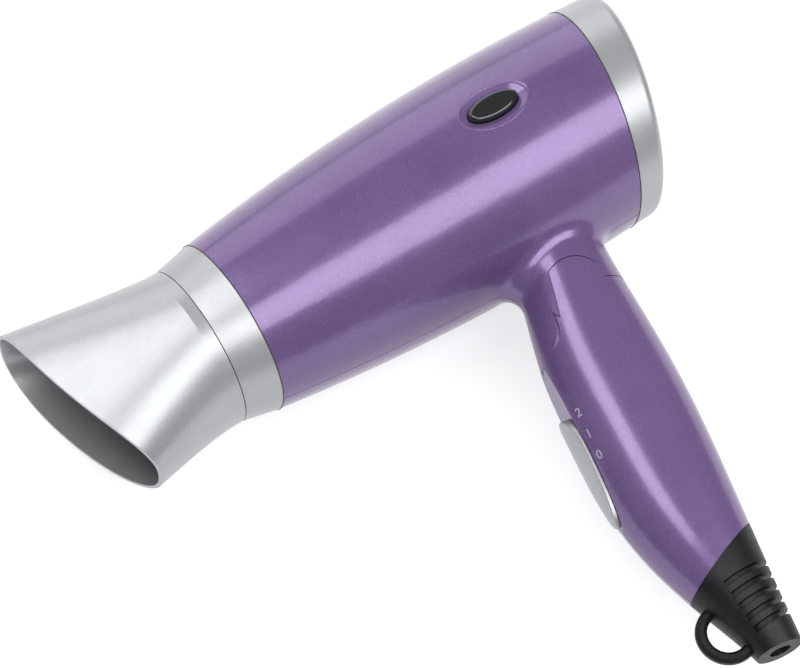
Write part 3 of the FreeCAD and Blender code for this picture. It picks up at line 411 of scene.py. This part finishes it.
# ---- small pieces ------------------------------------------------------------------------
def surface_of(name):
    """Tree for casting rays at one node's surface."""
    mesh = NODES[name].data
    return BVHTree.FromPolygons([v.co for v in mesh.vertices], [p.vertices for p in mesh.polygons])


def round_bead(path, radius, rounds):
    """Smooth closed bead of round section along a ring of points."""
    curve = bpy.data.curves.new("bead", "CURVE")
    curve.dimensions = "3D"
    curve.bevel_depth = radius
    curve.bevel_resolution = rounds
    spline = curve.splines.new("NURBS")
    spline.points.add(len(path) - 1)
    for point, place in zip(spline.points, path):
        point.co = (*place, 1.0)
    spline.use_cyclic_u = True
    spline.order_u = 4
    carrier = bpy.data.objects.new("bead", curve)
    mesh = bpy.data.meshes.new_from_object(carrier)
    bpy.data.objects.remove(carrier)
    for polygon in mesh.polygons:
        polygon.use_smooth = True
    return mesh


def new_piece(name, mesh, body, material):
    """Object for a mesh that rides on a body."""
    piece = bpy.data.objects.new(name, mesh)
    bpy.context.scene.collection.objects.link(piece)
    mesh.materials.append(material)
    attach(piece, body)
    return piece


class DRYER_OT_digits(Operator):
    """Digits 2, 1 and 0 printed beside the slider, one for each of its positions."""
    bl_idname = "dryer.digits"
    bl_label = "Printed digits"

    def text_mesh(self, text, height):
        """Flat digit of this height, as a thin closed mesh about its own middle."""
        curve = bpy.data.curves.new("digit", "FONT")
        curve.body = text
        curve.align_x, curve.align_y = "CENTER", "CENTER"
        curve.size = height / DIGIT_SHARE
        curve.extrude = 0.05 * height
        curve.resolution_u = 3
        carrier = bpy.data.objects.new("digit", curve)
        mesh = bpy.data.meshes.new_from_object(carrier)
        bpy.data.objects.remove(carrier)
        return mesh

    def execute(self, context):
        look, sizes = context.scene.dryer_paint, context.scene.dryer_details
        ink = Nodes("ink")
        faded = [value * INK_SHADE for value in look.ink]
        ink.colour(ink.mix(ink.noise(0.0006, 2.0), look.ink, faded))
        ink.roughness(ink.span(ink.noise(0.0004), 0.3, 0.7, 0.40, 0.52))
        slide = JOINTS["power_slide"]
        up = Vector(slide["axis"]).normalized()
        step = slide["range_m"][1] / 2
        side = Vector((0, 0, 1))
        front = side.cross(up).normalized()
        corners = [v.co for v in NODES["switch_slider"].data.vertices]
        top = max(corner.dot(up) for corner in corners)
        low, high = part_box("switch_slider")
        middle = Vector((0, 0, (low.z + high.z) / 2))
        face = max(corner.dot(front) for corner in corners)
        skin = surface_of("handle_left")
        for index, text in enumerate("210"):
            mesh = self.text_mesh(text, sizes.digit_height)
            along = top - sizes.digit_top - index * step
            start = middle + front * (face + RAY_START) + up * along + side * sizes.digit_side
            point, normal, _, _ = skin.ray_cast(start, -front)
            if point is None:
                raise RuntimeError("no surface for digit " + text)
            flat_up = (up - normal * up.dot(normal)).normalized()
            right = flat_up.cross(normal)
            deepest = max(abs(v.co.z) for v in mesh.vertices)
            for vertex in mesh.vertices:
                spot = point + right * vertex.co.x + flat_up * vertex.co.y
                hit, _, _, _ = skin.ray_cast(spot + normal * INK_RAY_START, -normal)
                lift = sizes.ink_thickness * (0.5 + 0.9 * vertex.co.z / deepest)
                vertex.co = (hit if hit is not None else spot) + normal * lift
            new_piece("digit_" + text, mesh, "handle", ink.material)
        return {"FINISHED"}


class DRYER_OT_bead(Operator):
    """Rounded bead round the dish that the button sits in."""
    bl_idname = "dryer.bead"
    bl_label = "Dish bead"

    def execute(self, context):
        sizes = context.scene.dryer_details
        low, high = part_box("cool_shot_button")
        press = Vector(JOINTS["cool_shot_press"]["axis"]).normalized()
        out = -press
        along = Vector((1, 0, 0))
        across = out.cross(along).normalized()
        middle = (low + high) / 2
        corners = [v.co - middle for v in NODES["cool_shot_button"].data.vertices]
        half_length = max(c.x for c in corners) + sizes.bead_margin
        half_width = max(abs(c.dot(across)) for c in corners) + sizes.bead_margin
        skin = surface_of("housing_left")
        path = []
        for index in range(sizes.bead_steps):
            turn = 2 * math.pi * index / sizes.bead_steps
            spot = middle + along * half_length * math.cos(turn) + across * half_width * math.sin(turn)
            hit, _, _, _ = skin.ray_cast(spot + out * BEAD_RAY_START, press)
            if hit is None:
                raise RuntimeError("no surface under the bead")
            path.append(hit - out * sizes.bead_radius * BEAD_SINK)
        mesh = round_bead(path, sizes.bead_radius, 4)
        paint = NODES["housing_left"].material_slots[0].material
        new_piece("dish_bead", mesh, "housing", paint)
        return {"FINISHED"}


class DRYER_OT_seams(Operator):
    """Dark shut lines where the two silver rings meet the barrel."""
    bl_idname = "dryer.seams"
    bl_label = "Shut lines"

    def rim(self, name, facing):
        """Outermost corners, in order round the barrel, of a ring's end that faces along X."""
        mesh = NODES[name].data
        axis_y, axis_z = JOINTS["fan_spin"]["pos_m"][1:]
        ends = [face for face in mesh.polygons if face.normal.x * facing > END_FACING]
        edge = max(ends, key=lambda face: math.hypot(face.center.y - axis_y, face.center.z - axis_z))
        corners = [v.co for v in mesh.vertices
                   if abs((v.co - edge.center).dot(edge.normal)) < RIM_DEPTH]
        bins = {}
        for corner in corners:
            y, z = corner.y - axis_y, corner.z - axis_z
            reach = math.hypot(y, z)
            key = round(math.atan2(z, y) * RIM_POINTS / 2 / math.pi) % RIM_POINTS
            if key not in bins or reach > bins[key][0]:
                bins[key] = (reach, corner.copy())
        widest = max(reach for reach, _ in bins.values())
        return [bins[key][1] for key in sorted(bins) if bins[key][0] > RIM_SHARE * widest]

    def execute(self, context):
        sizes = context.scene.dryer_details
        dark = NODES["outlet_grille"].material_slots[0].material
        for name, node, facing in (("seam_front", "front_ring", 1), ("seam_rear", "rear_ring", -1)):
            mesh = round_bead(self.rim(node, facing), sizes.seam_radius, 3)
            new_piece(name, mesh, "housing", dark)
        return {"FINISHED"}


class DRYER_OT_spring(Operator):
    """Own copy of the spring under the button, riding on the housing, in place of the frame's spring."""
    bl_idname = "dryer.spring"
    bl_label = "Button spring"

    def execute(self, context):
        node = NODES["cool_shot_spring"]
        steel = node.material_slots[0].material
        mesh = node.data.copy()
        mesh.materials.clear()
        piece = new_piece("button_spring", mesh, "housing", steel)
        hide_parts("cool_shot_spring")
        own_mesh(piece)
        return {"FINISHED"}


# ---- studio ------------------------------------------------------------------------------
class DRYER_OT_studio(Operator):
    """Pale floor, soft lights and the camera."""
    bl_idname = "dryer.studio"
    bl_label = "Studio"

    def floor(self, look):
        """Wide floor that catches the shadow and is white to the camera and in reflections."""
        mesh = bpy.data.meshes.new("floor")
        signs = ((-1, -1), (1, -1), (1, 1), (-1, 1))
        corners = [(x * FLOOR_REACH, y * FLOOR_REACH, 0) for x, y in signs]
        mesh.from_pydata(corners, [], [(0, 1, 2, 3)])
        piece = bpy.data.objects.new("floor", mesh)
        bpy.context.scene.collection.objects.link(piece)
        material = bpy.data.materials.new("floor")
        material.use_nodes = True
        tree = material.node_tree
        tree.nodes.clear()
        diffuse = tree.nodes.new("ShaderNodeBsdfDiffuse")
        diffuse.inputs["Color"].default_value = (*look.floor, 1.0)
        glow = tree.nodes.new("ShaderNodeEmission")
        path = tree.nodes.new("ShaderNodeLightPath")
        seen = tree.nodes.new("ShaderNodeMath")
        seen.operation = "MAXIMUM"
        mirrored = tree.nodes.new("ShaderNodeMath")
        mirrored.operation = "MAXIMUM"
        tree.links.new(path.outputs["Is Glossy Ray"], mirrored.inputs[0])
        tree.links.new(path.outputs["Is Transmission Ray"], mirrored.inputs[1])
        tree.links.new(path.outputs["Is Camera Ray"], seen.inputs[0])
        tree.links.new(mirrored.outputs[0], seen.inputs[1])
        strength = tree.nodes.new("ShaderNodeMath")
        strength.operation = "MULTIPLY"
        tree.links.new(seen.outputs[0], strength.inputs[0])
        strength.inputs[1].default_value = look.glow
        tree.links.new(strength.outputs[0], glow.inputs["Strength"])
        both = tree.nodes.new("ShaderNodeAddShader")
        tree.links.new(diffuse.outputs[0], both.inputs[0])
        tree.links.new(glow.outputs[0], both.inputs[1])
        output = tree.nodes.new("ShaderNodeOutputMaterial")
        tree.links.new(both.outputs[0], output.inputs["Surface"])
        mesh.materials.append(material)

    def world(self, look):
        """Even light from all round."""
        world = bpy.data.worlds.new("studio")
        bpy.context.scene.world = world
        world.use_nodes = True
        background = world.node_tree.nodes["Background"]
        background.inputs["Color"].default_value = (*look.world, 1.0)
        background.inputs["Strength"].default_value = 1.0

    def light(self, name, towards, distance, size, power):
        """Soft rectangular light in a direction from the dryer's middle."""
        data = bpy.data.lights.new(name, "AREA")
        data.shape = "RECTANGLE"
        data.size, data.size_y = size
        data.energy = power
        lamp = bpy.data.objects.new(name, data)
        lamp.visible_camera = False
        bpy.context.scene.collection.objects.link(lamp)
        middle = (CAD_LOW + CAD_HIGH) / 2
        direction = Vector(towards).normalized()
        right = Vector((1, 0, 0)) - direction * direction.x
        right.normalize()
        up = direction.cross(right)
        turn = Matrix((right, up, direction)).transposed().to_4x4()
        lamp.matrix_world = Matrix.Translation(middle + direction * distance) @ turn

    def camera(self, look):
        """Camera at the set azimuth, elevation and roll."""
        azimuth, elevation, roll = look.azimuth, look.elevation, look.roll
        back = Vector((math.sin(azimuth) * math.cos(elevation), -math.cos(azimuth) * math.cos(elevation),
                       math.sin(elevation)))
        level_right = Vector((0, 0, 1)).cross(back).normalized()
        level_up = back.cross(level_right)
        right = level_right * math.cos(roll) + level_up * math.sin(roll)
        up = back.cross(right)
        target = (CAD_LOW + CAD_HIGH) / 2 + right * look.aim_right + up * look.aim_up
        data = bpy.data.cameras.new("camera")
        data.lens = look.lens
        camera = bpy.data.objects.new("camera", data)
        bpy.context.scene.collection.objects.link(camera)
        turn = Matrix((right, up, back)).transposed().to_4x4()
        camera.matrix_world = Matrix.Translation(target + back * look.distance) @ turn
        bpy.context.scene.camera = camera

    def execute(self, context):
        look = context.scene.dryer_studio
        context.scene.view_settings.view_transform = "Standard"
        self.floor(look)
        self.world(look)
        for name, towards, distance, size in LIGHTS:
            self.light(name, towards, distance, size, getattr(look, name))
        self.camera(look)
        return {"FINISHED"}


# ---- panel and registration --------------------------------------------------------------
OPERATORS = (DRYER_OT_purple, DRYER_OT_silver, DRYER_OT_blacks, DRYER_OT_inside, DRYER_OT_digits,
             DRYER_OT_bead, DRYER_OT_seams, DRYER_OT_spring, DRYER_OT_studio)
GROUPS = {
    "dryer_paint": DRYER_PG_paint,
    "dryer_details": DRYER_PG_details,
    "dryer_studio": DRYER_PG_studio,
}


class DRYER_PT_panel(Panel):
    """Steps of the dryer's finish."""
    bl_label = "Hair Dryer"
    bl_idname = "DRYER_PT_panel"
    bl_space_type = "VIEW_3D"
    bl_region_type = "UI"
    bl_category = "Hair Dryer"

    def draw(self, context):
        for step in OPERATORS:
            self.layout.operator(step.bl_idname)
        for group_name, group in GROUPS.items():
            box = self.layout.box()
            for name in group.__annotations__:
                box.prop(getattr(context.scene, group_name), name)


def register():
    for group in (*GROUPS.values(), *OPERATORS, DRYER_PT_panel):
        bpy.utils.register_class(group)
    for name, group in GROUPS.items():
        setattr(bpy.types.Scene, name, PointerProperty(type=group))


def unregister():
    for name in GROUPS:
        delattr(bpy.types.Scene, name)
    for group in reversed((*GROUPS.values(), *OPERATORS, DRYER_PT_panel)):
        bpy.utils.unregister_class(group)


def main():
    """Registers the add-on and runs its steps."""
    register()
    bpy.ops.dryer.purple()
    bpy.ops.dryer.silver()
    bpy.ops.dryer.blacks()
    bpy.ops.dryer.inside()
    bpy.ops.dryer.digits()
    bpy.ops.dryer.bead()
    bpy.ops.dryer.seams()
    bpy.ops.dryer.spring()
    bpy.ops.dryer.studio()


if __name__ == "__main__":
    main()
